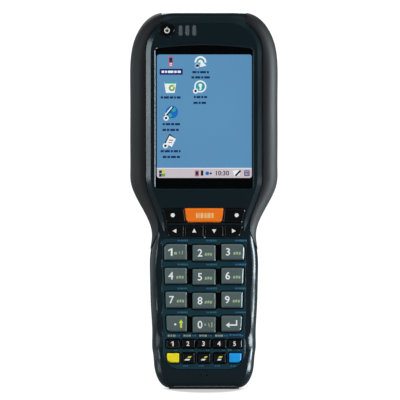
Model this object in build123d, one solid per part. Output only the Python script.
from build123d import *

import os
from functools import cache
from math import pi, radians, sin, sqrt

os.makedirs("parts", exist_ok=True)

# Frame: +Z runs from the base to the scanner end, the keys face -Y, X is the width.
# Origin: centre of the bounding box's bottom face.

# --- Envelope ---------------------------------------------------------------------------------
BODY_LENGTH = 216.0
HEAD_WIDTH = 84.6  # over the rubber side grips
BODY_DEPTH = 40.0  # key tops to the back of the head
GRIP_DEPTH = 29.0  # face to the back of the grip
WAIST_WIDTH = 58.8
BELLY_WIDTH = 62.0
FOOT_WIDTH = 57.6
KEY_PROUD = 1.0
BELLY_Z = 74.0
WAIST_Z = 89.0
FLARE_END_Z = 121.5
HEAD_BACK_Z = 135.0  # where the back reaches the head's full depth
FACE_Y = KEY_PROUD - BODY_DEPTH / 2
BACK_Y = BODY_DEPTH / 2
GRIP_BACK_Y = FACE_Y + GRIP_DEPTH

# --- Housing shells ---------------------------------------------------------------------------
GRIP_PROUD = 0.4  # rubber stands out from the covers
GRIP_SEAT = 1.2  # rubber let into the covers
GROOVE_WIDTH = 0.5  # between the rubber and the bezel
TOP_GRIP_X = 24.4  # where the rubber ends on the top edge
WALL = 3.0
FASCIA_RISE = 1.6
FASCIA_TOP_GAP = 2.6
FASCIA_WIDTH = 66.8
FASCIA_WAIST_WIDTH = 51.2
BEVEL_WIDTH = 2.8
FASCIA_TURN = 4.5  # the bezel turns inwards this far below the flare's end
FASCIA_WAIST = 7.0  # and is at its narrowest this far above the waist
FASCIA_RADII = (20.0, 30.0, 25.0)  # top corner, turn and waist
FASCIA_TAIL = 5.0  # how far it runs on below the waist
PART_Y = -4.0
SEAL_THICK = 0.5
SEAL_RECESS = 0.5
SOLE_LIFT = 0.8
TOP_ROUND = (30.0, 18.8)  # length and depth of the outline's rounding at the top corners
BASE_ROUND = (16.0, 8.5)
TOP_FRONT_ROUND = (8.0, 3.5)
TOP_BACK_ROUND = (16.0, 9.0)
BASE_EDGE_ROUND = (6.0, 3.0)
SHOULDER = (5.5, 7.0)  # front edge rounding of the grip, across and deep
HEEL = (12.0, 10.0)  # back edge rounding of the grip, across and deep
HEAD_SOFTER = 2.0  # by how much every edge rounding grows on the head
BEZIER_ARC = 0.5523  # handle length that makes a cubic follow a quarter ellipse
TRIM = 0.4  # how far the free form stands past its flat faces before they are cut

# --- Display ----------------------------------------------------------------------------------
DISPLAY_WIDTH = 53.6
DISPLAY_HEIGHT = 70.7
DISPLAY_Z = 156.4
WINDOW_SIDE_BORDER = 1.1
WINDOW_TOP_BORDER = 3.3
WINDOW_BOTTOM_BORDER = 6.2
WINDOW_CREST = 2.0  # height of the arched top edge
WINDOW_BEVEL = 0.5
WINDOW_RECESS = 1.1
WINDOW_THICK = 1.4
WINDOW_GAP = 0.15
WINDOW_CORNER = 1.8
VIEW_MARGIN = 0.6  # the cover's opening behind the lens, beyond the lit area
VIEW_LEDGE = 1.0  # thickness of the ledge that the lens is bonded to
GASKET_THICK = 0.6
GASKET_WIDTH = 2.0
LCD_WIDTH = 62.0
LCD_HEIGHT = 84.0
LCD_THICK = 4.9
LCD_CORNER = 1.0
FRAME_THICK = 1.2
BOARD_THICK = 1.6
STANDOFF = 1.6
STANDOFF_RADIUS = 2.0
STANDOFF_X = 26.0
STANDOFF_INSET = 18.0
FRAME_BOTTOM_Z = 102.5
FRAME_TOP_Z = 199.6

# --- Keys -------------------------------------------------------------------------------------
KEY_TRAVEL = 0.8
KEY_GAP = 0.25
KEY_BEVEL = 0.7  # on the number keys
SMALL_BEVEL = 0.45  # on all others
DIGIT_CORNER = 0.8
SMALL_CORNER = 0.6
FIELD_CORNER = 2.8  # of the keys at the outer corners of a field
ROW_CORNERS = (0.5, 0.9, 1.4)  # between keys, and at the slanted ends' blunt and sharp corners
SCAN_CORNERS = (0.6, 2.4)
FLANGE_THICK = 0.8
FLANGE_LIP = 0.4
FLANGE_PLAY = 0.1
KEY_STOP_GAP = 0.15  # left behind a flange when its key is fully pressed
PLUNGER_RADIUS = 1.1
PLUNGER_LENGTH = 0.6
PLATE_THICK = 1.6
PLATE_GAP = 0.15
PLATE_LEDGE = 0.6
PLATE_WIDTH = 48.8
PLATE_TOP_Z = 86.2
PLATE_BOTTOM_Z = 11.2
PLATE_CORNER = 10.0
PLATE_TAPER = 1.0  # how far each side draws in towards the base
PLATE_BEVEL = 0.3
DIGIT_WIDTH = 13.2
DIGIT_HEIGHT = 9.2
DIGIT_PITCH_X = 16.5
DIGIT_PITCH_Z = 13.7
DIGIT_TOP_Z = 78.6
DIGIT_SMILE = 0.6  # how far the middle column hangs below the outer ones
DIGIT_TAPER = 0.035  # how far the outer columns' outer edges draw in, per length downwards
FUNCTION_WIDTH = 7.5
FUNCTION_HEIGHT = 4.5
FUNCTION_Z = 26.1
SMALL_PITCH = 8.9
SMALL_WIDTH = 6.9
SMALL_HEIGHT = 5.4
SMALL_Z = 17.9
ARROW_HEIGHT = 5.8
ARROW_PITCH = 11.4
ARROW_Z = 90.7
ARROW_ROW_HALF = 22.4
SCAN_Z = 99.6
SCAN_HEIGHT = 8.0
SCAN_TOP_WIDTH = 22.4
SCAN_BOTTOM_WIDTH = 20.4
SOFT_ROW_HALF = 23.8
ROW_SLANT = 1.9  # how far the rows' outer ends lean in towards the waist
ROW_SPACE = 0.5
POWER_X = -21.3
STATUS_Z = 205.5
POWER_RADIUS = 4.2
POWER_PROUD = 0.5
POWER_POCKET = 5.4
LIGHT_X = -9.5
LIGHT_PITCH = 3.9
LIGHT_WIDTH = 2.0
LIGHT_HEIGHT = 6.0
LIGHT_SINK = 0.15
LIGHT_GAP = 0.05

# --- Keypad stack behind the plate ------------------------------------------------------------
MAT_THICK = 0.85
MAT_WIDTH = 49.0
MAT_TOP_Z = 105.8
MAT_BOTTOM_Z = 12.2
MAT_RIM = 0.8
MAT_HOLE = 2.0
DOME_RADIUS = 1.5
DOME_HEIGHT = 0.3
POCKET_GAP = 0.3

# --- Battery, its well, lid, hinge and latch --------------------------------------------------
BATTERY_WIDTH = 40.4
BATTERY_LENGTH = 73.0
BATTERY_DEPTH = 14.4
BATTERY_BOTTOM_Z = 19.0
BATTERY_GAP = 0.3
BATTERY_CORNER = 2.5
CONTACT_BLOCK = 2.0
CONTACT_WIDTH = 16.0
CONTACT_DEPTH = 5.0
WELL_WALL = 1.5
LID_WALL = 2.0
LID_GAP = 0.3
LID_SEAT_GAP = 0.15
LID_WIDTH = 44.6
LID_BOTTOM_Z = 15.0
LID_CORNER = 4.0
HINGE_RADIUS = 1.9
HINGE_PIN_RADIUS = 0.8
HINGE_PIN_PLAY = 0.05
PIN_FIT = 0.02
HINGE_PIN_HOLD = 1.8
HINGE_TURN_GAP = 0.3
HINGE_Z = 97.4
HINGE_BLOCK = 3.4
HINGE_OPENING = 1.6  # from the axis to the edge of the lid recess
LATCH_TRAVEL = 4.0
LATCH_WIDTH = 12.4
LATCH_HEIGHT = 9.0
LATCH_PAD_DEPTH = 1.0
LATCH_PROUD = 0.6
LATCH_GAP = 0.3
LATCH_NECK_WIDTH = 4.8
LATCH_NECK_HEIGHT = 4.0
LATCH_TONGUE_WIDTH = 10.0
LATCH_TONGUE_THICK = 0.9
LATCH_PLAY = 0.15
LATCH_Z = 28.0
LATCH_CORNER = 1.5
LATCH_GROOVE = (0.4, 1.8)  # depth, which is half the width too, and pitch
KEEPER_DEPTH = 4.5
KEEPER_THICK = 6.0

# --- Scanner end ------------------------------------------------------------------------------
BEZEL_WIDTH = 40.0
BEZEL_DEPTH = 17.0
BEZEL_Y = -1.5
BEZEL_HEIGHT = 4.0
BEZEL_PROUD = 0.2
BEZEL_RIM = 2.4
BEZEL_GAP = 0.1
BEZEL_CORNER = 4.0
BEZEL_LEDGE = 1.0
SCAN_GLASS = 1.4
SCAN_GLASS_SINK = 0.8
ENGINE_SIZE = (30.0, 15.0, 21.0)

# --- Base and small inner parts ---------------------------------------------------------------
SOLE_WIDTH = 40.4
SOLE_FRONT_Y = -14.5
SOLE_BACK_Y = 6.5
SOLE_THICK = 1.6
DOCK_WIDTH = 24.0
DOCK_DEPTH = 5.4
DOCK_Y = 1.7
DOCK_HEIGHT = 7.2
DOCK_SINK = 0.8
DOCK_GAP = 0.1
SOLE_GATE_GAP = 0.6  # round the docking connector
SOLE_CORNER = 3.0
MIC_SPACING = 2.5
MIC_Z = 8.1
MIC_HOLE = 0.5
MIC_RADIUS = 3.0
MIC_THICK = 1.8
SPEAKER_RADIUS = 11.0
SPEAKER_THICK = 4.5
SPEAKER_Z = 160.0
SPEAKER_SLOT = (12.0, 1.4)
SPEAKER_SLOTS = 5
SPEAKER_PITCH = 3.2
SCREW_HEAD_RADIUS = 2.2
SCREW_HEAD_HEIGHT = 1.6
SCREW_RADIUS = 1.1
SCREW_SINK = 1.4
SCREW_BITE = 6.0
POST_RADIUS = 2.6
POST_CLEAR = 0.4
POST_ROOT = 0.8  # how far a post runs into the wall
SCREW_CLEAR = 0.2
SCREW_PLACES = ((28.6, 202.6), (27.2, 108.6), (19.6, 8.8))
RADIO_SIZE = (22.0, 3.0, 28.0)
RADIO_Z = 140.0
STATUS_BOARD_WIDTH = 33.0
STATUS_BOARD_HEIGHT = 9.0
STATUS_BOARD_X = -9.0
STATUS_BOARD_THICK = 1.2
STATUS_BOARD_DROP = 0.7

COVER_TOP_Z = BODY_LENGTH - GRIP_PROUD
FLARE_START_Z = WAIST_Z - 1.0


# --- Form of the housing ----------------------------------------------------------------------
def part_way(value, start, end):
    """How far value lies from start to end, from 0 to 1."""
    return min(max((value - start) / (end - start), 0.0), 1.0)


def smooth(value, start, end):
    """S-curve from 0 at start to 1 at end."""
    way = part_way(value, start, end)
    return way * way * (3.0 - 2.0 * way)


def rounding(distance, size, inset):
    """How far an elliptical end rounding has drawn in, at a distance past its start."""
    reach = size[0] - inset
    depth = max(size[1] - inset, 0.0)
    way = min(max(distance / reach, 0.0), 1.0)
    return depth * (1.0 - sqrt(1.0 - way * way))


def half_width(z):
    """Half the covers' width: foot, belly, waist and the flare out to the head."""
    swell = (BELLY_WIDTH - FOOT_WIDTH) / 2 * sin(part_way(z, BASE_ROUND[0], BELLY_Z) * pi / 2)
    pinch = (BELLY_WIDTH - WAIST_WIDTH) / 2 * smooth(z, BELLY_Z, WAIST_Z)
    flare = (HEAD_WIDTH / 2 - GRIP_PROUD - WAIST_WIDTH / 2) * smooth(z, FLARE_START_Z, FLARE_END_Z)
    return FOOT_WIDTH / 2 + swell - pinch + flare


def shell_front(z):
    """Y of the free form's front: just past the face on the grip, a step behind it on the head."""
    return FACE_Y - TRIM + (FASCIA_RISE + TRIM) * smooth(z, FLARE_START_Z - 2.0, FLARE_START_Z + 12.0)


def shell_back(z):
    """Y of the covers' back, rising from the grip to the head."""
    return GRIP_BACK_Y + (BACK_Y + TRIM - GRIP_BACK_Y) * smooth(z, WAIST_Z + 6.0, HEAD_BACK_Z)


def back_surface(x, z):
    """Y of the back at a place on it, with the heel's rounding."""
    grown = HEAD_SOFTER * smooth(z, FLARE_START_Z, FLARE_END_Z)
    past_flat = abs(x) - (half_width(z) - HEEL[0] - grown)
    way = min(max(past_flat / (HEEL[0] + grown), 0.0), 1.0)
    drop = (HEEL[1] + grown) * (1.0 - sqrt(1.0 - way * way))
    top = rounding(z - COVER_TOP_Z + TOP_BACK_ROUND[0], TOP_BACK_ROUND, 0.0)
    return min(shell_back(z) - drop - top, BACK_Y)


def section(z, inset):
    """Cross-section of the housing at a height, drawn in by inset."""
    grown = HEAD_SOFTER * smooth(z, FLARE_START_Z, FLARE_END_Z)
    from_top = z - COVER_TOP_Z
    from_base = SOLE_LIFT - z
    base_edge = rounding(from_base + BASE_EDGE_ROUND[0], BASE_EDGE_ROUND, inset)
    half = half_width(z) - inset
    half -= rounding(from_top + TOP_ROUND[0], TOP_ROUND, inset)
    half -= rounding(from_base + BASE_ROUND[0], BASE_ROUND, inset)
    front = shell_front(z) + inset + base_edge
    front += rounding(from_top + TOP_FRONT_ROUND[0], TOP_FRONT_ROUND, inset)
    back = shell_back(z) - inset - base_edge
    back -= rounding(from_top + TOP_BACK_ROUND[0], TOP_BACK_ROUND, inset)
    across_front = SHOULDER[0] + grown - inset
    deep_front = SHOULDER[1] + grown - inset
    across_back = HEEL[0] + grown - inset
    deep_back = HEEL[1] + grown - inset
    flat_front = half - across_front
    flat_back = half - across_back
    side_front = front + deep_front
    side_back = back - deep_back
    k = BEZIER_ARC
    edges = [Line((-flat_front, front), (flat_front, front))]
    edges.append(
        Bezier(
            (flat_front, front),
            (flat_front + k * across_front, front),
            (half, side_front - k * deep_front),
            (half, side_front),
        )
    )
    edges.append(Line((half, side_front), (half, side_back)))
    edges.append(
        Bezier(
            (half, side_back),
            (half, side_back + k * deep_back),
            (flat_back + k * across_back, back),
            (flat_back, back),
        )
    )
    edges.append(Line((flat_back, back), (-flat_back, back)))
    edges.append(
        Bezier(
            (-flat_back, back),
            (-flat_back - k * across_back, back),
            (-half, side_back + k * deep_back),
            (-half, side_back),
        )
    )
    edges.append(Line((-half, side_back), (-half, side_front)))
    edges.append(
        Bezier(
            (-half, side_front),
            (-half, side_front - k * deep_front),
            (-flat_front - k * across_front, front),
            (-flat_front, front),
        )
    )
    return Pos(0, 0, z) * make_face(Curve() + edges)


def heights(inset):
    """Heights of the sections: close together on the end roundings and the flare."""
    base_reach = BASE_ROUND[0] - inset
    top_reach = TOP_ROUND[0] - inset
    base_centre = SOLE_LIFT + BASE_ROUND[0]
    top_centre = COVER_TOP_Z - TOP_ROUND[0]
    found = [base_centre - base_reach * sin(radians(turn)) for turn in (90, 72, 54, 36, 18, 0)]
    grip_step = (BELLY_Z - base_centre) / 4
    found += [base_centre + grip_step * step for step in (1, 2, 3, 4)]
    flare_step = (FLARE_END_Z - BELLY_Z) / 7
    found += [BELLY_Z + flare_step * step for step in (1, 2, 3, 4, 5, 6, 7)]
    head_step = (top_centre - FLARE_END_Z) / 4
    found += [FLARE_END_Z + head_step * step for step in (1, 2, 3)]
    found += [top_centre + top_reach * sin(radians(turn)) for turn in (0, 20, 38, 52, 64, 74, 82, 90)]
    return found


@cache
def housing_form(inset):
    """Solid with the housing's form, drawn in by inset."""
    form = loft([section(z, inset) for z in heights(inset)])
    return form & slab(outline_box(HEAD_WIDTH, BODY_LENGTH), FACE_Y + inset, BACK_Y - inset)


# --- Helpers for flat outlines in the X-Z plane -----------------------------------------------
def outline(corners):
    """Closed outline through (x, z, corner radius) places."""
    shape = make_face(Polyline([(x, z) for x, z, radius in corners], close=True))
    for x, z, radius in corners:
        if radius:
            shape = fillet(shape.vertices().sort_by_distance((x, z, 0))[0], radius)
    return shape


def mirrored(corners):
    """Corners of the right half, given from the top down, and their mirror images."""
    return corners + [(-x, z, radius) for x, z, radius in reversed(corners)]


def outline_box(width, height):
    """Plain rectangle that holds the whole front outline with room to spare."""
    return Pos(0, height / 2) * Rectangle(2 * width, 2 * height)


def slab(shape, front, back):
    """Outline in the X-Z plane made solid between two Y values."""
    at_back = Plane(origin=(0, back, 0), x_dir=(1, 0, 0), z_dir=(0, -1, 0))
    return extrude(at_back * shape, amount=back - front)


def tapered(front_shape, front, back_shape, back):
    """Solid that runs from one outline at the front to another at the back."""
    at_front = Plane(origin=(0, front, 0), x_dir=(1, 0, 0), z_dir=(0, -1, 0))
    at_back = Plane(origin=(0, back, 0), x_dir=(1, 0, 0), z_dir=(0, -1, 0))
    return loft([at_back * back_shape, at_front * front_shape], ruled=True)


def block(width, front, back, bottom, top, x=0.0):
    """Box given by its width, centre X and its limits in Y and Z."""
    shape = Box(width, back - front, top - bottom)
    return Pos(x, (front + back) / 2, (bottom + top) / 2) * shape


def rod(radius, front, back, x, z):
    """Cylinder along Y."""
    return slab(Pos(x, z) * Circle(radius), front, back)


def both_sides(places):
    """The places and their mirror images in X."""
    return [(side * x, z) for x, z in places for side in (1, -1)]


# --- Depths of the stack, front to back -------------------------------------------------------
PLATE_BACK_Y = FACE_Y + PLATE_THICK
FLANGE_FRONT_Y = PLATE_BACK_Y + FLANGE_PLAY
FLANGE_BACK_Y = FLANGE_FRONT_Y + FLANGE_THICK
MAT_FRONT_Y = FLANGE_BACK_Y + KEY_TRAVEL + KEY_STOP_GAP
MAT_BACK_Y = MAT_FRONT_Y + MAT_THICK
WINDOW_FRONT_Y = FACE_Y + WINDOW_RECESS
WINDOW_BACK_Y = WINDOW_FRONT_Y + WINDOW_THICK
GASKET_FRONT_Y = WINDOW_BACK_Y + VIEW_LEDGE
LCD_FRONT_Y = GASKET_FRONT_Y + GASKET_THICK
LCD_BACK_Y = LCD_FRONT_Y + LCD_THICK
FRAME_BACK_Y = LCD_BACK_Y + FRAME_THICK
BOARD_FRONT_Y = FRAME_BACK_Y + STANDOFF
BOARD_BACK_Y = BOARD_FRONT_Y + BOARD_THICK
STATUS_FRONT_Y = FACE_Y + FASCIA_RISE + WALL + BEZEL_GAP
HINGE_Y = GRIP_BACK_Y - HINGE_RADIUS
LID_INNER_Y = GRIP_BACK_Y - LID_WALL
TONGUE_BACK_Y = LID_INNER_Y - LATCH_PLAY
BATTERY_BACK_Y = TONGUE_BACK_Y - LATCH_TONGUE_THICK - BATTERY_GAP
WELL_FLOOR_Y = BATTERY_BACK_Y - BATTERY_DEPTH - BATTERY_GAP
BATTERY_TOP_Z = BATTERY_BOTTOM_Z + BATTERY_LENGTH
WELL_BOTTOM_Z = BATTERY_BOTTOM_Z - BATTERY_GAP
WELL_TOP_Z = BATTERY_TOP_Z + CONTACT_BLOCK
WELL_WIDTH = BATTERY_WIDTH + 2 * BATTERY_GAP


# --- Keys -------------------------------------------------------------------------------------
def pad_corners(x, z, width, height, radii):
    """Corners of a rectangular key, with its radii from the upper left, clockwise."""
    left = x - width / 2
    right = x + width / 2
    top = z + height / 2
    bottom = z - height / 2
    places = [(left, top), (right, top), (right, bottom), (left, bottom)]
    return [(*place, radius) for place, radius in zip(places, radii)]


def drawn_in(x, z):
    """X of a number key's corner: the field's outer edges draw in towards the base."""
    if abs(x) < DIGIT_PITCH_X:
        return x
    drop = DIGIT_TAPER * (DIGIT_TOP_Z + DIGIT_HEIGHT / 2 - z)
    return x - drop if x > 0 else x + drop


def digit_keys():
    """Twelve number keys, with the four outer corners of the field well rounded."""
    names = ("1", "2", "3", "4", "5", "6", "7", "8", "9", "point", "0", "enter")
    keys = {}
    for index, name in enumerate(names):
        row, column = divmod(index, 3)
        side = column - 1
        x = side * DIGIT_PITCH_X
        z = DIGIT_TOP_Z - row * DIGIT_PITCH_Z - DIGIT_SMILE * (1 - side * side)
        radii = [DIGIT_CORNER] * 4
        if row == 0 and side:
            radii[0 if side < 0 else 1] = FIELD_CORNER
        if row == 3 and side:
            radii[3 if side < 0 else 2] = FIELD_CORNER
        corners = pad_corners(x, z, DIGIT_WIDTH, DIGIT_HEIGHT, radii)
        keys["key_" + name] = [(drawn_in(x, z), z, radius) for x, z, radius in corners]
    return keys


def small_keys():
    """Five function keys and the row of five below them."""
    keys = {}
    for index in range(5):
        x = (index - 2) * SMALL_PITCH
        name = "key_function_" + str(index + 1)
        keys[name] = pad_corners(x, FUNCTION_Z, FUNCTION_WIDTH, FUNCTION_HEIGHT, [SMALL_CORNER] * 4)
    for index, name in enumerate(("yellow", "tab", "space", "delete", "blue")):
        x = (index - 2) * SMALL_PITCH
        radii = [SMALL_CORNER] * 4
        if name == "yellow":
            radii[3] = FIELD_CORNER
        if name == "blue":
            radii[2] = FIELD_CORNER
        keys["key_" + name] = pad_corners(x, SMALL_Z, SMALL_WIDTH, SMALL_HEIGHT, radii)
    return keys


def row_end(half, z, centre_z, height):
    """X of a row's slanted outer end at a height."""
    return half - ROW_SLANT * (0.5 - (z - centre_z) / height)


def arrow_keys():
    """Four arrow keys side by side; the outer ones follow the slant of the waist."""
    top = ARROW_Z + ARROW_HEIGHT / 2
    bottom = ARROW_Z - ARROW_HEIGHT / 2
    near = ROW_SPACE / 2
    far = ARROW_PITCH - ROW_SPACE / 2
    start = ARROW_PITCH + ROW_SPACE / 2
    upper_end = row_end(ARROW_ROW_HALF, top, ARROW_Z, ARROW_HEIGHT)
    lower_end = row_end(ARROW_ROW_HALF, bottom, ARROW_Z, ARROW_HEIGHT)
    between, blunt, sharp = ROW_CORNERS
    inner = [
        (near, top, between),
        (far, top, between),
        (far, bottom, between),
        (near, bottom, between),
    ]
    outer = [
        (start, top, between),
        (upper_end, top, blunt),
        (lower_end, bottom, sharp),
        (start, bottom, between),
    ]
    return {
        "key_left": [(-x, z, radius) for x, z, radius in outer],
        "key_up": [(-x, z, radius) for x, z, radius in inner],
        "key_down": inner,
        "key_right": outer,
    }


def scan_keys():
    """Scan key with a soft key on each side."""
    top = SCAN_Z + SCAN_HEIGHT / 2
    bottom = SCAN_Z - SCAN_HEIGHT / 2
    upper = SCAN_TOP_WIDTH / 2
    lower = SCAN_BOTTOM_WIDTH / 2
    scan = mirrored([(upper, top, SCAN_CORNERS[0]), (lower, bottom, SCAN_CORNERS[1])])
    upper_end = row_end(SOFT_ROW_HALF, top, SCAN_Z, SCAN_HEIGHT)
    lower_end = row_end(SOFT_ROW_HALF, bottom, SCAN_Z, SCAN_HEIGHT)
    between, blunt, sharp = ROW_CORNERS
    soft = [
        (upper + ROW_SPACE, top, between),
        (upper_end, top, sharp),
        (lower_end, bottom, blunt),
        (lower + ROW_SPACE, bottom, between),
    ]
    return {
        "key_scan": scan,
        "key_soft_left": [(-x, z, radius) for x, z, radius in soft],
        "key_soft_right": soft,
    }


def row_window(half, z, height):
    """Outline of the opening that a whole row of keys shares."""
    top = z + height / 2
    bottom = z - height / 2
    upper_end = row_end(half, top, z, height)
    lower_end = row_end(half, bottom, z, height)
    return offset(outline(mirrored([(upper_end, top, 1.2), (lower_end, bottom, 1.2)])), KEY_GAP)


def key_solid(corners, lip_sideways, bevel):
    """Key cap with its retaining flange and its plunger."""
    shape = outline(corners)
    cap = slab(shape, FACE_Y - KEY_PROUD, FLANGE_FRONT_Y)
    cap = chamfer(cap.faces().sort_by(Axis.Y)[0].edges(), bevel)
    box = shape.bounding_box()
    width = box.size.X + (2 * FLANGE_LIP if lip_sideways else 0.0)
    height = box.size.Y + 2 * FLANGE_LIP
    centre = box.center()
    if lip_sideways:
        flange_shape = offset(shape, FLANGE_LIP)
    else:
        flange_shape = shape + Pos(centre.X, centre.Y) * Rectangle(width - 2 * ROW_SLANT, height)
    flange = slab(flange_shape, FLANGE_FRONT_Y, FLANGE_BACK_Y)
    plunger = rod(PLUNGER_RADIUS, FLANGE_BACK_Y, FLANGE_BACK_Y + PLUNGER_LENGTH, centre.X, centre.Y)
    return cap + flange + plunger


def power_key():
    """Round power key in its own hole."""
    cap = rod(POWER_RADIUS, FACE_Y - POWER_PROUD, FLANGE_FRONT_Y, POWER_X, STATUS_Z)
    cap = fillet(cap.faces().sort_by(Axis.Y)[0].edges(), POWER_PROUD * 0.8)
    flange = rod(POWER_RADIUS + FLANGE_LIP + KEY_GAP, FLANGE_FRONT_Y, FLANGE_BACK_Y, POWER_X, STATUS_Z)
    plunger = rod(PLUNGER_RADIUS, FLANGE_BACK_Y, FLANGE_BACK_Y + PLUNGER_LENGTH, POWER_X, STATUS_Z)
    return cap + flange + plunger


# --- Outlines that several pieces share -------------------------------------------------------
def fascia_shape():
    """Outline of the raised bezel: the head's field, running in to the waist."""
    half = FASCIA_WIDTH / 2
    waist = FASCIA_WAIST_WIDTH / 2
    corners = [
        (half, COVER_TOP_Z - FASCIA_TOP_GAP, FASCIA_RADII[0]),
        (half, FLARE_END_Z - FASCIA_TURN, FASCIA_RADII[1]),
        (waist, WAIST_Z + FASCIA_WAIST, FASCIA_RADII[2]),
        (waist, WAIST_Z - FASCIA_TAIL, 0.0),
    ]
    return outline(mirrored(corners))


def plate_shape():
    """Outline of the keypad plate, with its two lower corners well rounded."""
    half = PLATE_WIDTH / 2
    foot = half - PLATE_TAPER
    return outline(mirrored([(half, PLATE_TOP_Z, 2.0), (foot, PLATE_BOTTOM_Z, PLATE_CORNER)]))


def mat_shape():
    """Outline of the key mat and of the keypad board behind it."""
    half = MAT_WIDTH / 2
    return outline(mirrored([(half, MAT_TOP_Z, 2.0), (half, MAT_BOTTOM_Z, PLATE_CORNER - 1.0)]))


def window_shape():
    """Display recess: straight sides and foot, with an arched top edge."""
    half = DISPLAY_WIDTH / 2 + WINDOW_SIDE_BORDER
    top = DISPLAY_Z + DISPLAY_HEIGHT / 2 + WINDOW_TOP_BORDER
    bottom = DISPLAY_Z - DISPLAY_HEIGHT / 2 - WINDOW_BOTTOM_BORDER
    crest = ThreePointArc((-half, top), (0, top + WINDOW_CREST), (half, top))
    rest = Polyline([(half, top), (half, bottom), (-half, bottom), (-half, top)])
    shape = make_face(Curve() + [crest, rest])
    return fillet(shape.vertices(), WINDOW_CORNER)


def view_shape(margin):
    """The display's lit area with a margin all round."""
    return Pos(0, DISPLAY_Z) * Rectangle(DISPLAY_WIDTH + 2 * margin, DISPLAY_HEIGHT + 2 * margin)


def lid_shape(gap, top_z):
    """Outline of the battery lid, or of its recess where gap is more than 0."""
    half = LID_WIDTH / 2 + gap
    return outline(mirrored([(half, top_z, 0.0), (half, LID_BOTTOM_Z - gap, LID_CORNER + gap)]))


def end_slab(width, depth, y, corner, bottom, top):
    """Rounded plate square to Z, for the scanner end and the base."""
    return Pos(0, y, bottom) * extrude(RectangleRounded(width, depth, corner), amount=top - bottom)


# --- Covers -----------------------------------------------------------------------------------
def fascia():
    """Raised bezel with its wide bevel."""
    shape = fascia_shape()
    foot_y = FACE_Y + FASCIA_RISE
    raised = tapered(offset(shape, -BEVEL_WIDTH), FACE_Y, shape, foot_y)
    return raised + slab(shape, foot_y, foot_y + WALL / 2)


def side_grip(side):
    """Rubber overmould that wraps one side of the head and runs out below the waist."""
    far = HEAD_WIDTH
    top = BODY_LENGTH + WALL
    zone_points = [
        (TOP_GRIP_X, top),
        (far, top),
        (far, BELLY_Z + 1.0),
        (BELLY_WIDTH / 2 + 2.0, BELLY_Z + 1.0),
        (FASCIA_WAIST_WIDTH / 2, WAIST_Z + 3.0),
        (TOP_GRIP_X, WAIST_Z + 3.0),
    ]
    zone = make_face(Polyline([(side * x, z) for x, z in zone_points], close=True))
    zone = zone - offset(fascia_shape(), GROOVE_WIDTH)
    skin = housing_form(-GRIP_PROUD) - housing_form(GRIP_SEAT)
    grip = skin & slab(zone, -BODY_DEPTH, BODY_DEPTH)
    return grip.solids().sort_by(SortBy.VOLUME)[-1]


def shell_halves(grips):
    """Front and back shells, split at the seal, with the seats for what spans both."""
    outer = housing_form(0.0) + fascia()
    shell = outer - housing_form(WALL)
    for grip in grips:
        shell = shell - grip
    shell = shell - sole_block()
    shell = shell - bezel_gate()
    field = outline_box(HEAD_WIDTH, BODY_LENGTH)
    front = shell & slab(field, -BODY_DEPTH, PART_Y - SEAL_THICK / 2)
    back = shell & slab(field, PART_Y + SEAL_THICK / 2, BODY_DEPTH)
    return front, back


def control_pocket():
    """Relief behind the face for the flanges, mat and board of the two upper key rows."""
    bottom = PLATE_TOP_Z + PLATE_GAP + PLATE_LEDGE
    top = MAT_TOP_Z + POCKET_GAP
    return block(2 * (SOFT_ROW_HALF + POCKET_GAP), PLATE_BACK_Y, LCD_BACK_Y, bottom, top)


def rim_bevel(shape, size):
    """Cutter for the bevel round an opening in the face."""
    return tapered(offset(shape, 1.5 * size), FACE_Y - size / 2, shape, FACE_Y + size)


def front_cover(shell):
    """Front moulding: bezel, display recess, key openings, keypad recess and screw bosses."""
    cover = shell
    seam = PART_Y - SEAL_THICK / 2
    for x, z in both_sides(SCREW_PLACES):
        front = shell_front(z) + WALL - POST_ROOT
        cover = cover + rod(POST_RADIUS, front, seam, x, z)
        cover = cover - rod(SCREW_RADIUS + PIN_FIT, PART_Y - SCREW_BITE - PLATE_LEDGE, seam, x, z)
    cuts = [slab(window_shape(), FACE_Y - 1.0, WINDOW_BACK_Y)]
    cuts.append(rim_bevel(window_shape(), WINDOW_BEVEL))
    view = view_shape(VIEW_MARGIN)
    cuts.append(slab(view, FACE_Y - 1.0, LCD_BACK_Y))
    bay = Pos(0, DISPLAY_Z) * Rectangle(LCD_WIDTH + 2 * POCKET_GAP, LCD_HEIGHT + 2 * POCKET_GAP)
    cuts.append(slab(bay, GASKET_FRONT_Y, LCD_BACK_Y))
    cuts.append(slab(row_window(SOFT_ROW_HALF, SCAN_Z, SCAN_HEIGHT), FACE_Y - 1.0, LCD_BACK_Y))
    cuts.append(slab(row_window(ARROW_ROW_HALF, ARROW_Z, ARROW_HEIGHT), FACE_Y - 1.0, LCD_BACK_Y))
    cuts.append(control_pocket())
    cuts.append(slab(offset(mat_shape(), POCKET_GAP), FACE_Y + WALL, LCD_BACK_Y))
    cuts.append(slab(offset(plate_shape(), PLATE_GAP), FACE_Y - 1.0, PLATE_BACK_Y))
    cuts.append(slab(offset(plate_shape(), -PLATE_LEDGE), FACE_Y - 1.0, LCD_BACK_Y))
    cuts.append(rod(POWER_RADIUS + KEY_GAP, FACE_Y - 1.0, LCD_BACK_Y, POWER_X, STATUS_Z))
    cuts.append(rod(POWER_POCKET, PLATE_BACK_Y, STATUS_FRONT_Y, POWER_X, STATUS_Z))
    for x in light_places():
        slot = Pos(x, STATUS_Z) * RectangleRounded(LIGHT_WIDTH, LIGHT_HEIGHT, LIGHT_WIDTH * 0.4)
        cuts.append(slab(slot, FACE_Y - 1.0, STATUS_FRONT_Y))
    for side in (-1, 1):
        cuts.append(rod(MIC_HOLE, FACE_Y - 1.0, FACE_Y + WALL + 1.0, side * MIC_SPACING / 2, MIC_Z))
    for cut in cuts:
        cover = cover - cut
    return cover.solids().sort_by(SortBy.VOLUME)[-1]


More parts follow.
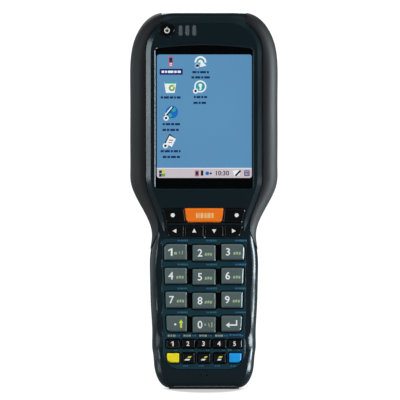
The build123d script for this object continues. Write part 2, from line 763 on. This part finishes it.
def well_blocks():
    """Battery well with the thick ends that hold the hinge and keep the latch."""
    wide = WELL_WIDTH + 2 * WELL_WALL
    low = WELL_BOTTOM_Z - WELL_WALL
    high = WELL_TOP_Z + WELL_WALL
    well = block(wide, WELL_FLOOR_Y - WELL_WALL, LID_INNER_Y, low, high)
    turn = HINGE_RADIUS + HINGE_TURN_GAP
    held = LID_WIDTH + 2 * (LID_GAP + HINGE_PIN_HOLD + WELL_WALL / 2)
    back = LID_INNER_Y + WELL_WALL / 3
    front = HINGE_Y - turn - WELL_WALL
    hinge = block(held, front, back, WELL_TOP_Z, HINGE_Z + HINGE_BLOCK)
    foot = LID_BOTTOM_Z - KEEPER_DEPTH
    keeper = block(wide, LID_INNER_Y - KEEPER_THICK, back, foot, WELL_BOTTOM_Z)
    return (well + hinge + keeper) & housing_form(SEAL_RECESS)


def back_cover(shell):
    """Back moulding: battery well, lid recess, hinge seat, latch keeper and screw posts."""
    seam = PART_Y + SEAL_THICK / 2
    cover = shell + well_blocks()
    for x, z in both_sides(SCREW_PLACES):
        cover = cover + (rod(POST_RADIUS, seam, BACK_Y, x, z) & housing_form(WALL / 2))
    recess_top = HINGE_Z + HINGE_OPENING
    recess = slab(lid_shape(LID_GAP, recess_top), 0.0, BODY_DEPTH) - housing_form(LID_WALL + LID_SEAT_GAP)
    turning = HINGE_RADIUS + HINGE_TURN_GAP
    barrel = Pos(0, HINGE_Y, HINGE_Z) * Rot(0, 90, 0) * Cylinder(turning, LID_WIDTH + 2 * LID_GAP)
    bore_length = LID_WIDTH + 2 * (LID_GAP + HINGE_PIN_HOLD)
    bore = Pos(0, HINGE_Y, HINGE_Z) * Rot(0, 90, 0) * Cylinder(HINGE_PIN_RADIUS + PIN_FIT, bore_length)
    inside = block(WELL_WIDTH, WELL_FLOOR_Y, BODY_DEPTH, WELL_BOTTOM_Z, WELL_TOP_Z)
    for cut in (recess, barrel, bore, inside, latch_channel(), dock_block(DOCK_GAP)):
        cover = cover - cut
    for x, z in both_sides(SCREW_PLACES):
        seat = screw_seat(x, z)
        cover = cover - rod(SCREW_RADIUS + SCREW_CLEAR, PART_Y, seat, x, z)
        cover = cover - rod(SCREW_HEAD_RADIUS + SCREW_CLEAR, seat, BODY_DEPTH, x, z)
    for index in range(SPEAKER_SLOTS):
        z = SPEAKER_Z + (index - (SPEAKER_SLOTS - 1) / 2) * SPEAKER_PITCH
        cover = cover - slab(Pos(0, z) * SlotOverall(*SPEAKER_SLOT), BACK_Y - 2 * WALL, BODY_DEPTH)
    return cover.solids().sort_by(SortBy.VOLUME)[-1]


def housing_seal(grips):
    """Gasket in the parting line, set back a little from the surface."""
    band = slab(outline_box(HEAD_WIDTH, BODY_LENGTH), PART_Y - SEAL_THICK / 2, PART_Y + SEAL_THICK / 2)
    seal = (housing_form(SEAL_RECESS) - housing_form(WALL)) & band
    for grip in grips:
        seal = seal - grip
    seal = seal - sole_block()
    return seal - bezel_gate()


def bezel_gate():
    """Opening in the top end for the scan bezel."""
    wide = BEZEL_WIDTH + 2 * BEZEL_GAP
    deep = BEZEL_DEPTH + 2 * BEZEL_GAP
    return end_slab(wide, deep, BEZEL_Y, BEZEL_CORNER + BEZEL_GAP, COVER_TOP_Z - 2 * WALL, BODY_LENGTH)


def screw_seat(x, z):
    """Y of the face that a housing screw's head bears on."""
    return back_surface(x, z) - SCREW_SINK - SCREW_HEAD_HEIGHT


def housing_screws():
    """Six screws from the back, one in each post."""
    screws = []
    for x, z in both_sides(SCREW_PLACES):
        seat = screw_seat(x, z)
        head = rod(SCREW_HEAD_RADIUS, seat, seat + SCREW_HEAD_HEIGHT, x, z)
        screws.append(head + rod(SCREW_RADIUS, PART_Y - SCREW_BITE, seat, x, z))
    return Compound(screws)


def sole_block():
    """Full outline of the base sole, which the covers are relieved by."""
    depth = SOLE_BACK_Y - SOLE_FRONT_Y
    return end_slab(SOLE_WIDTH, depth, (SOLE_BACK_Y + SOLE_FRONT_Y) / 2, SOLE_CORNER, 0.0, SOLE_THICK)


def dock_block(gap):
    """Docking connector body, or its opening where gap is more than 0."""
    depth = DOCK_DEPTH / 2 + gap
    return block(DOCK_WIDTH + 2 * gap, DOCK_Y - depth, DOCK_Y + depth, DOCK_SINK, DOCK_SINK + DOCK_HEIGHT)


def base_sole():
    """Rubber sole that the terminal stands on, open round the docking connector."""
    wide = DOCK_WIDTH + 2 * SOLE_GATE_GAP
    deep = DOCK_DEPTH + 2 * SOLE_GATE_GAP
    gate = end_slab(wide, deep, DOCK_Y, SOLE_CORNER / 3, -SOLE_THICK, 2 * SOLE_THICK)
    return sole_block() - gate


# --- Battery lid, hinge and latch -------------------------------------------------------------
def latch_channel():
    """Room behind the housing's lip for the latch tongue."""
    front = TONGUE_BACK_Y - LATCH_TONGUE_THICK - LATCH_PLAY
    back = TONGUE_BACK_Y + LATCH_PLAY
    bottom = LID_BOTTOM_Z - LATCH_TRAVEL
    return block(LATCH_TONGUE_WIDTH + 2 * LATCH_GAP, front, back, bottom, WELL_BOTTOM_Z + WELL_WALL)


def battery_lid():
    """Lid that follows the grip's back, with a hinge barrel along its top edge."""
    skin = housing_form(0.0) - housing_form(LID_WALL)
    lid = skin & slab(lid_shape(0.0, HINGE_Z), 0.0, BODY_DEPTH)
    barrel = Pos(0, HINGE_Y, HINGE_Z) * Rot(0, 90, 0) * Cylinder(HINGE_RADIUS, LID_WIDTH)
    lid = lid + (barrel & housing_form(0.0))
    bore = Cylinder(HINGE_PIN_RADIUS + HINGE_PIN_PLAY, LID_WIDTH + 2 * LID_GAP)
    lid = lid - Pos(0, HINGE_Y, HINGE_Z) * Rot(0, 90, 0) * bore
    low = LATCH_Z - LATCH_HEIGHT / 2 - LATCH_TRAVEL - LATCH_GAP
    high = LATCH_Z + LATCH_HEIGHT / 2 + LATCH_GAP
    lid = lid - block(LATCH_WIDTH + 2 * LATCH_GAP, GRIP_BACK_Y - LATCH_PAD_DEPTH, BODY_DEPTH, low, high)
    low = LATCH_Z - LATCH_NECK_HEIGHT / 2 - LATCH_TRAVEL - LATCH_GAP
    high = LATCH_Z + LATCH_NECK_HEIGHT / 2 + LATCH_GAP
    lid = lid - block(LATCH_NECK_WIDTH + 2 * LATCH_GAP, 0.0, BODY_DEPTH, low, high)
    return lid.solids().sort_by(SortBy.VOLUME)[-1]


def lid_hinge_pin():
    """Steel pin through the lid's barrel, held in the back cover at both ends."""
    length = LID_WIDTH + 2 * (LID_GAP + HINGE_PIN_HOLD - HINGE_PIN_PLAY)
    return Pos(0, HINGE_Y, HINGE_Z) * Rot(0, 90, 0) * Cylinder(HINGE_PIN_RADIUS, length)


def lid_latch():
    """Thumb slide with a neck through the lid and a tongue that locks under the lip."""
    half = LATCH_HEIGHT / 2
    pad_front = GRIP_BACK_Y - LATCH_PAD_DEPTH + LATCH_PLAY
    pad = block(LATCH_WIDTH, pad_front, GRIP_BACK_Y + LATCH_PROUD, LATCH_Z - half, LATCH_Z + half)
    pad = fillet(pad.edges().filter_by(Axis.Y), LATCH_CORNER)
    deep, pitch = LATCH_GROOVE
    top = GRIP_BACK_Y + LATCH_PROUD
    for index in range(4):
        z = LATCH_Z + (index - 1.5) * pitch
        pad = pad - block(LATCH_WIDTH - 2 * LATCH_CORNER, top - deep, top + deep, z - deep, z + deep)
    neck_half = LATCH_NECK_HEIGHT / 2
    neck = block(LATCH_NECK_WIDTH, TONGUE_BACK_Y, pad_front, LATCH_Z - neck_half, LATCH_Z + neck_half)
    front = TONGUE_BACK_Y - LATCH_TONGUE_THICK
    low = LID_BOTTOM_Z + LATCH_GAP
    high = LATCH_Z + neck_half + LATCH_TONGUE_THICK
    tongue = block(LATCH_TONGUE_WIDTH, front, TONGUE_BACK_Y, low, high)
    return pad + neck + tongue


def battery_pack():
    """Battery with rounded long edges."""
    pack = block(
        BATTERY_WIDTH, BATTERY_BACK_Y - BATTERY_DEPTH, BATTERY_BACK_Y, BATTERY_BOTTOM_Z, BATTERY_TOP_Z
    )
    return fillet(pack.edges().filter_by(Axis.Z), BATTERY_CORNER)


def battery_contacts():
    """Contact block between the battery and the well's top wall."""
    half = CONTACT_DEPTH / 2
    return block(CONTACT_WIDTH, -half, half, BATTERY_TOP_Z, WELL_TOP_Z)


# --- Display and electronics ------------------------------------------------------------------
def display_window():
    """Touch lens in its arched recess."""
    return slab(offset(window_shape(), -WINDOW_GAP), WINDOW_FRONT_Y, WINDOW_BACK_Y)


def display_gasket():
    """Foam frame between the cover and the display module."""
    frame = view_shape(VIEW_MARGIN + GASKET_WIDTH) - view_shape(VIEW_MARGIN)
    return slab(frame, GASKET_FRONT_Y, LCD_FRONT_Y)


def lcd_module():
    """Display module in its bay."""
    shape = Pos(0, DISPLAY_Z) * RectangleRounded(LCD_WIDTH, LCD_HEIGHT, LCD_CORNER)
    return slab(shape, LCD_FRONT_Y, LCD_BACK_Y)


def carrier(inset, front, back, bottom, top):
    """Plate that follows the inside of the covers, cleared round the middle screw bosses."""
    band = block(HEAD_WIDTH, front, back, bottom, top)
    plate = housing_form(inset) & band
    x, z = SCREW_PLACES[1]
    for side in (-1, 1):
        plate = plate - rod(POST_RADIUS + POST_CLEAR, front - 1.0, back + 1.0, side * x, z)
    return plate


def inner_frame():
    """Mid-frame behind the display, with four standoffs for the main board."""
    frame = carrier(WALL + POCKET_GAP, LCD_BACK_Y, FRAME_BACK_Y, FRAME_BOTTOM_Z, FRAME_TOP_Z)
    low = FRAME_BOTTOM_Z + STANDOFF_INSET
    high = FRAME_TOP_Z - STANDOFF_INSET
    for x, z in both_sides(((STANDOFF_X, low), (STANDOFF_X, high))):
        frame = frame + rod(STANDOFF_RADIUS, FRAME_BACK_Y, BOARD_FRONT_Y, x, z)
    return frame


def main_board():
    """Main board on the frame's standoffs."""
    inset = WALL + WELL_WALL
    top = FRAME_TOP_Z - WELL_WALL
    return carrier(inset, BOARD_FRONT_Y, BOARD_BACK_Y, FRAME_BOTTOM_Z, top)


def radio_module():
    """Shielded radio on the back of the main board."""
    width, depth, height = RADIO_SIZE
    low = RADIO_Z - height / 2
    return block(width, BOARD_BACK_Y, BOARD_BACK_Y + depth, low, low + height)


def status_board():
    """Small board behind the power key and the status lights."""
    bottom = STATUS_Z - STATUS_BOARD_HEIGHT / 2 - STATUS_BOARD_DROP
    top = bottom + STATUS_BOARD_HEIGHT
    back = STATUS_FRONT_Y + STATUS_BOARD_THICK
    return block(STATUS_BOARD_WIDTH, STATUS_FRONT_Y, back, bottom, top, STATUS_BOARD_X)


def light_places():
    """X of the three status lights."""
    return [LIGHT_X + step * LIGHT_PITCH for step in (-1, 0, 1)]


def light_pipes():
    """Three clear pipes from the status board to the face."""
    pipes = []
    for x in light_places():
        width = LIGHT_WIDTH - 2 * LIGHT_GAP
        shape = Pos(x, STATUS_Z) * RectangleRounded(width, LIGHT_HEIGHT - 2 * LIGHT_GAP, width * 0.4)
        pipes.append(slab(shape, FACE_Y + LIGHT_SINK, STATUS_FRONT_Y))
    return Compound(pipes)


def key_mat(centres):
    """Silicone mat with a hole for each key's plunger and a sealing rim against the cover."""
    shape = mat_shape()
    mat = slab(shape, MAT_FRONT_Y, MAT_BACK_Y)
    rim = slab(shape - offset(shape, -MAT_RIM), FACE_Y + WALL, MAT_FRONT_Y)
    rim = rim & block(HEAD_WIDTH, -BODY_DEPTH, BODY_DEPTH, 0.0, PLATE_TOP_Z - 2 * PLATE_LEDGE)
    mat = mat + rim
    for x, z in centres:
        mat = mat - rod(MAT_HOLE, -BODY_DEPTH, BODY_DEPTH, x, z)
    return mat


def keypad_board():
    """Board behind the mat."""
    return slab(mat_shape(), MAT_BACK_Y, MAT_BACK_Y + BOARD_THICK)


def dome_switches(centres):
    """One dome under each key, the power key's on the status board."""
    domes = [rod(DOME_RADIUS, MAT_BACK_Y - DOME_HEIGHT, MAT_BACK_Y, x, z) for x, z in centres]
    domes.append(rod(DOME_RADIUS, MAT_BACK_Y - DOME_HEIGHT, STATUS_FRONT_Y, POWER_X, STATUS_Z))
    return Compound(domes)


def microphone():
    """Microphone behind its two holes."""
    return rod(MIC_RADIUS, FACE_Y + WALL, FACE_Y + WALL + MIC_THICK, 0.0, MIC_Z)


def speaker():
    """Speaker behind the slots in the back of the head."""
    return rod(SPEAKER_RADIUS, BACK_Y - WALL - SPEAKER_THICK, BACK_Y - WALL, 0.0, SPEAKER_Z)


# --- Scanner end ------------------------------------------------------------------------------
BEZEL_TOP_Z = COVER_TOP_Z + BEZEL_PROUD
GLASS_TOP_Z = BEZEL_TOP_Z - SCAN_GLASS_SINK
GLASS_BOTTOM_Z = GLASS_TOP_Z - SCAN_GLASS
ENGINE_TOP_Z = BEZEL_TOP_Z - BEZEL_HEIGHT


def scan_bezel():
    """Frame in the top end that holds the scan window."""
    seat_width = BEZEL_WIDTH - 2 * BEZEL_RIM
    seat_depth = BEZEL_DEPTH - 2 * BEZEL_RIM
    frame = end_slab(BEZEL_WIDTH, BEZEL_DEPTH, BEZEL_Y, BEZEL_CORNER, ENGINE_TOP_Z, BEZEL_TOP_Z)
    corner = BEZEL_CORNER / 2
    frame = frame - end_slab(seat_width, seat_depth, BEZEL_Y, corner, GLASS_BOTTOM_Z, BODY_LENGTH)
    view_width = seat_width - 2 * BEZEL_LEDGE
    view_depth = seat_depth - 2 * BEZEL_LEDGE
    return frame - end_slab(view_width, view_depth, BEZEL_Y, corner / 2, 0.0, BODY_LENGTH)


def scan_window():
    """Dark red window on the bezel's ledge."""
    width = BEZEL_WIDTH - 2 * (BEZEL_RIM + BEZEL_GAP)
    depth = BEZEL_DEPTH - 2 * (BEZEL_RIM + BEZEL_GAP)
    return end_slab(width, depth, BEZEL_Y, BEZEL_CORNER / 2 - BEZEL_GAP, GLASS_BOTTOM_Z, GLASS_TOP_Z)


def scan_engine():
    """Scan engine between the main board and the bezel."""
    width, depth, height = ENGINE_SIZE
    return block(width, BOARD_BACK_Y, BOARD_BACK_Y + depth, ENGINE_TOP_Z - height, ENGINE_TOP_Z)


# --- Build and write every node ---------------------------------------------------------------
def centre_of(corners):
    """Centre of a key's bounding box in X and Z."""
    box = outline(corners).bounding_box()
    return (box.center().X, box.center().Y)


plate_keys = {**digit_keys(), **small_keys()}
cover_keys = {**arrow_keys(), **scan_keys()}
key_centres = [centre_of(corners) for corners in {**plate_keys, **cover_keys}.values()]


def keypad_plate():
    """Plate with an opening for each number, function and lower key."""
    plate = slab(plate_shape(), FACE_Y, PLATE_BACK_Y)
    plate = chamfer(plate.faces().sort_by(Axis.Y)[0].edges(), PLATE_BEVEL)
    for corners in plate_keys.values():
        plate = plate - slab(offset(outline(corners), KEY_GAP), FACE_Y - 1.0, PLATE_BACK_Y + 1.0)
    return plate


grips = [side_grip(-1), side_grip(1)]
front_shell, back_shell = shell_halves(grips)
nodes = {
    "front_cover": front_cover(front_shell),
    "back_cover": back_cover(back_shell),
    "housing_seal": housing_seal(grips),
    "side_grip_left": grips[0],
    "side_grip_right": grips[1],
    "base_sole": base_sole(),
    "keypad_plate": keypad_plate(),
    "key_mat": key_mat(key_centres),
    "keypad_board": keypad_board(),
    "dome_switches": dome_switches(key_centres),
    "power_key": power_key(),
    "display_window": display_window(),
    "display_gasket": display_gasket(),
    "lcd_module": lcd_module(),
    "inner_frame": inner_frame(),
    "main_board": main_board(),
    "radio_module": radio_module(),
    "status_board": status_board(),
    "light_pipes": light_pipes(),
    "microphone": microphone(),
    "speaker": speaker(),
    "scan_bezel": scan_bezel(),
    "scan_window": scan_window(),
    "scan_engine": scan_engine(),
    "battery_pack": battery_pack(),
    "battery_contacts": battery_contacts(),
    "battery_lid": battery_lid(),
    "lid_hinge_pin": lid_hinge_pin(),
    "lid_latch": lid_latch(),
    "docking_connector": dock_block(0.0),
    "housing_screws": housing_screws(),
}
for name, corners in digit_keys().items():
    nodes[name] = key_solid(corners, True, KEY_BEVEL)
for name, corners in small_keys().items():
    nodes[name] = key_solid(corners, True, SMALL_BEVEL)
for name, corners in cover_keys.items():
    nodes[name] = key_solid(corners, False, SMALL_BEVEL)

for name, shape in nodes.items():
    export_step(shape, "parts/" + name + ".step")
    print(name, len(shape.solids()), round(shape.volume, 2))
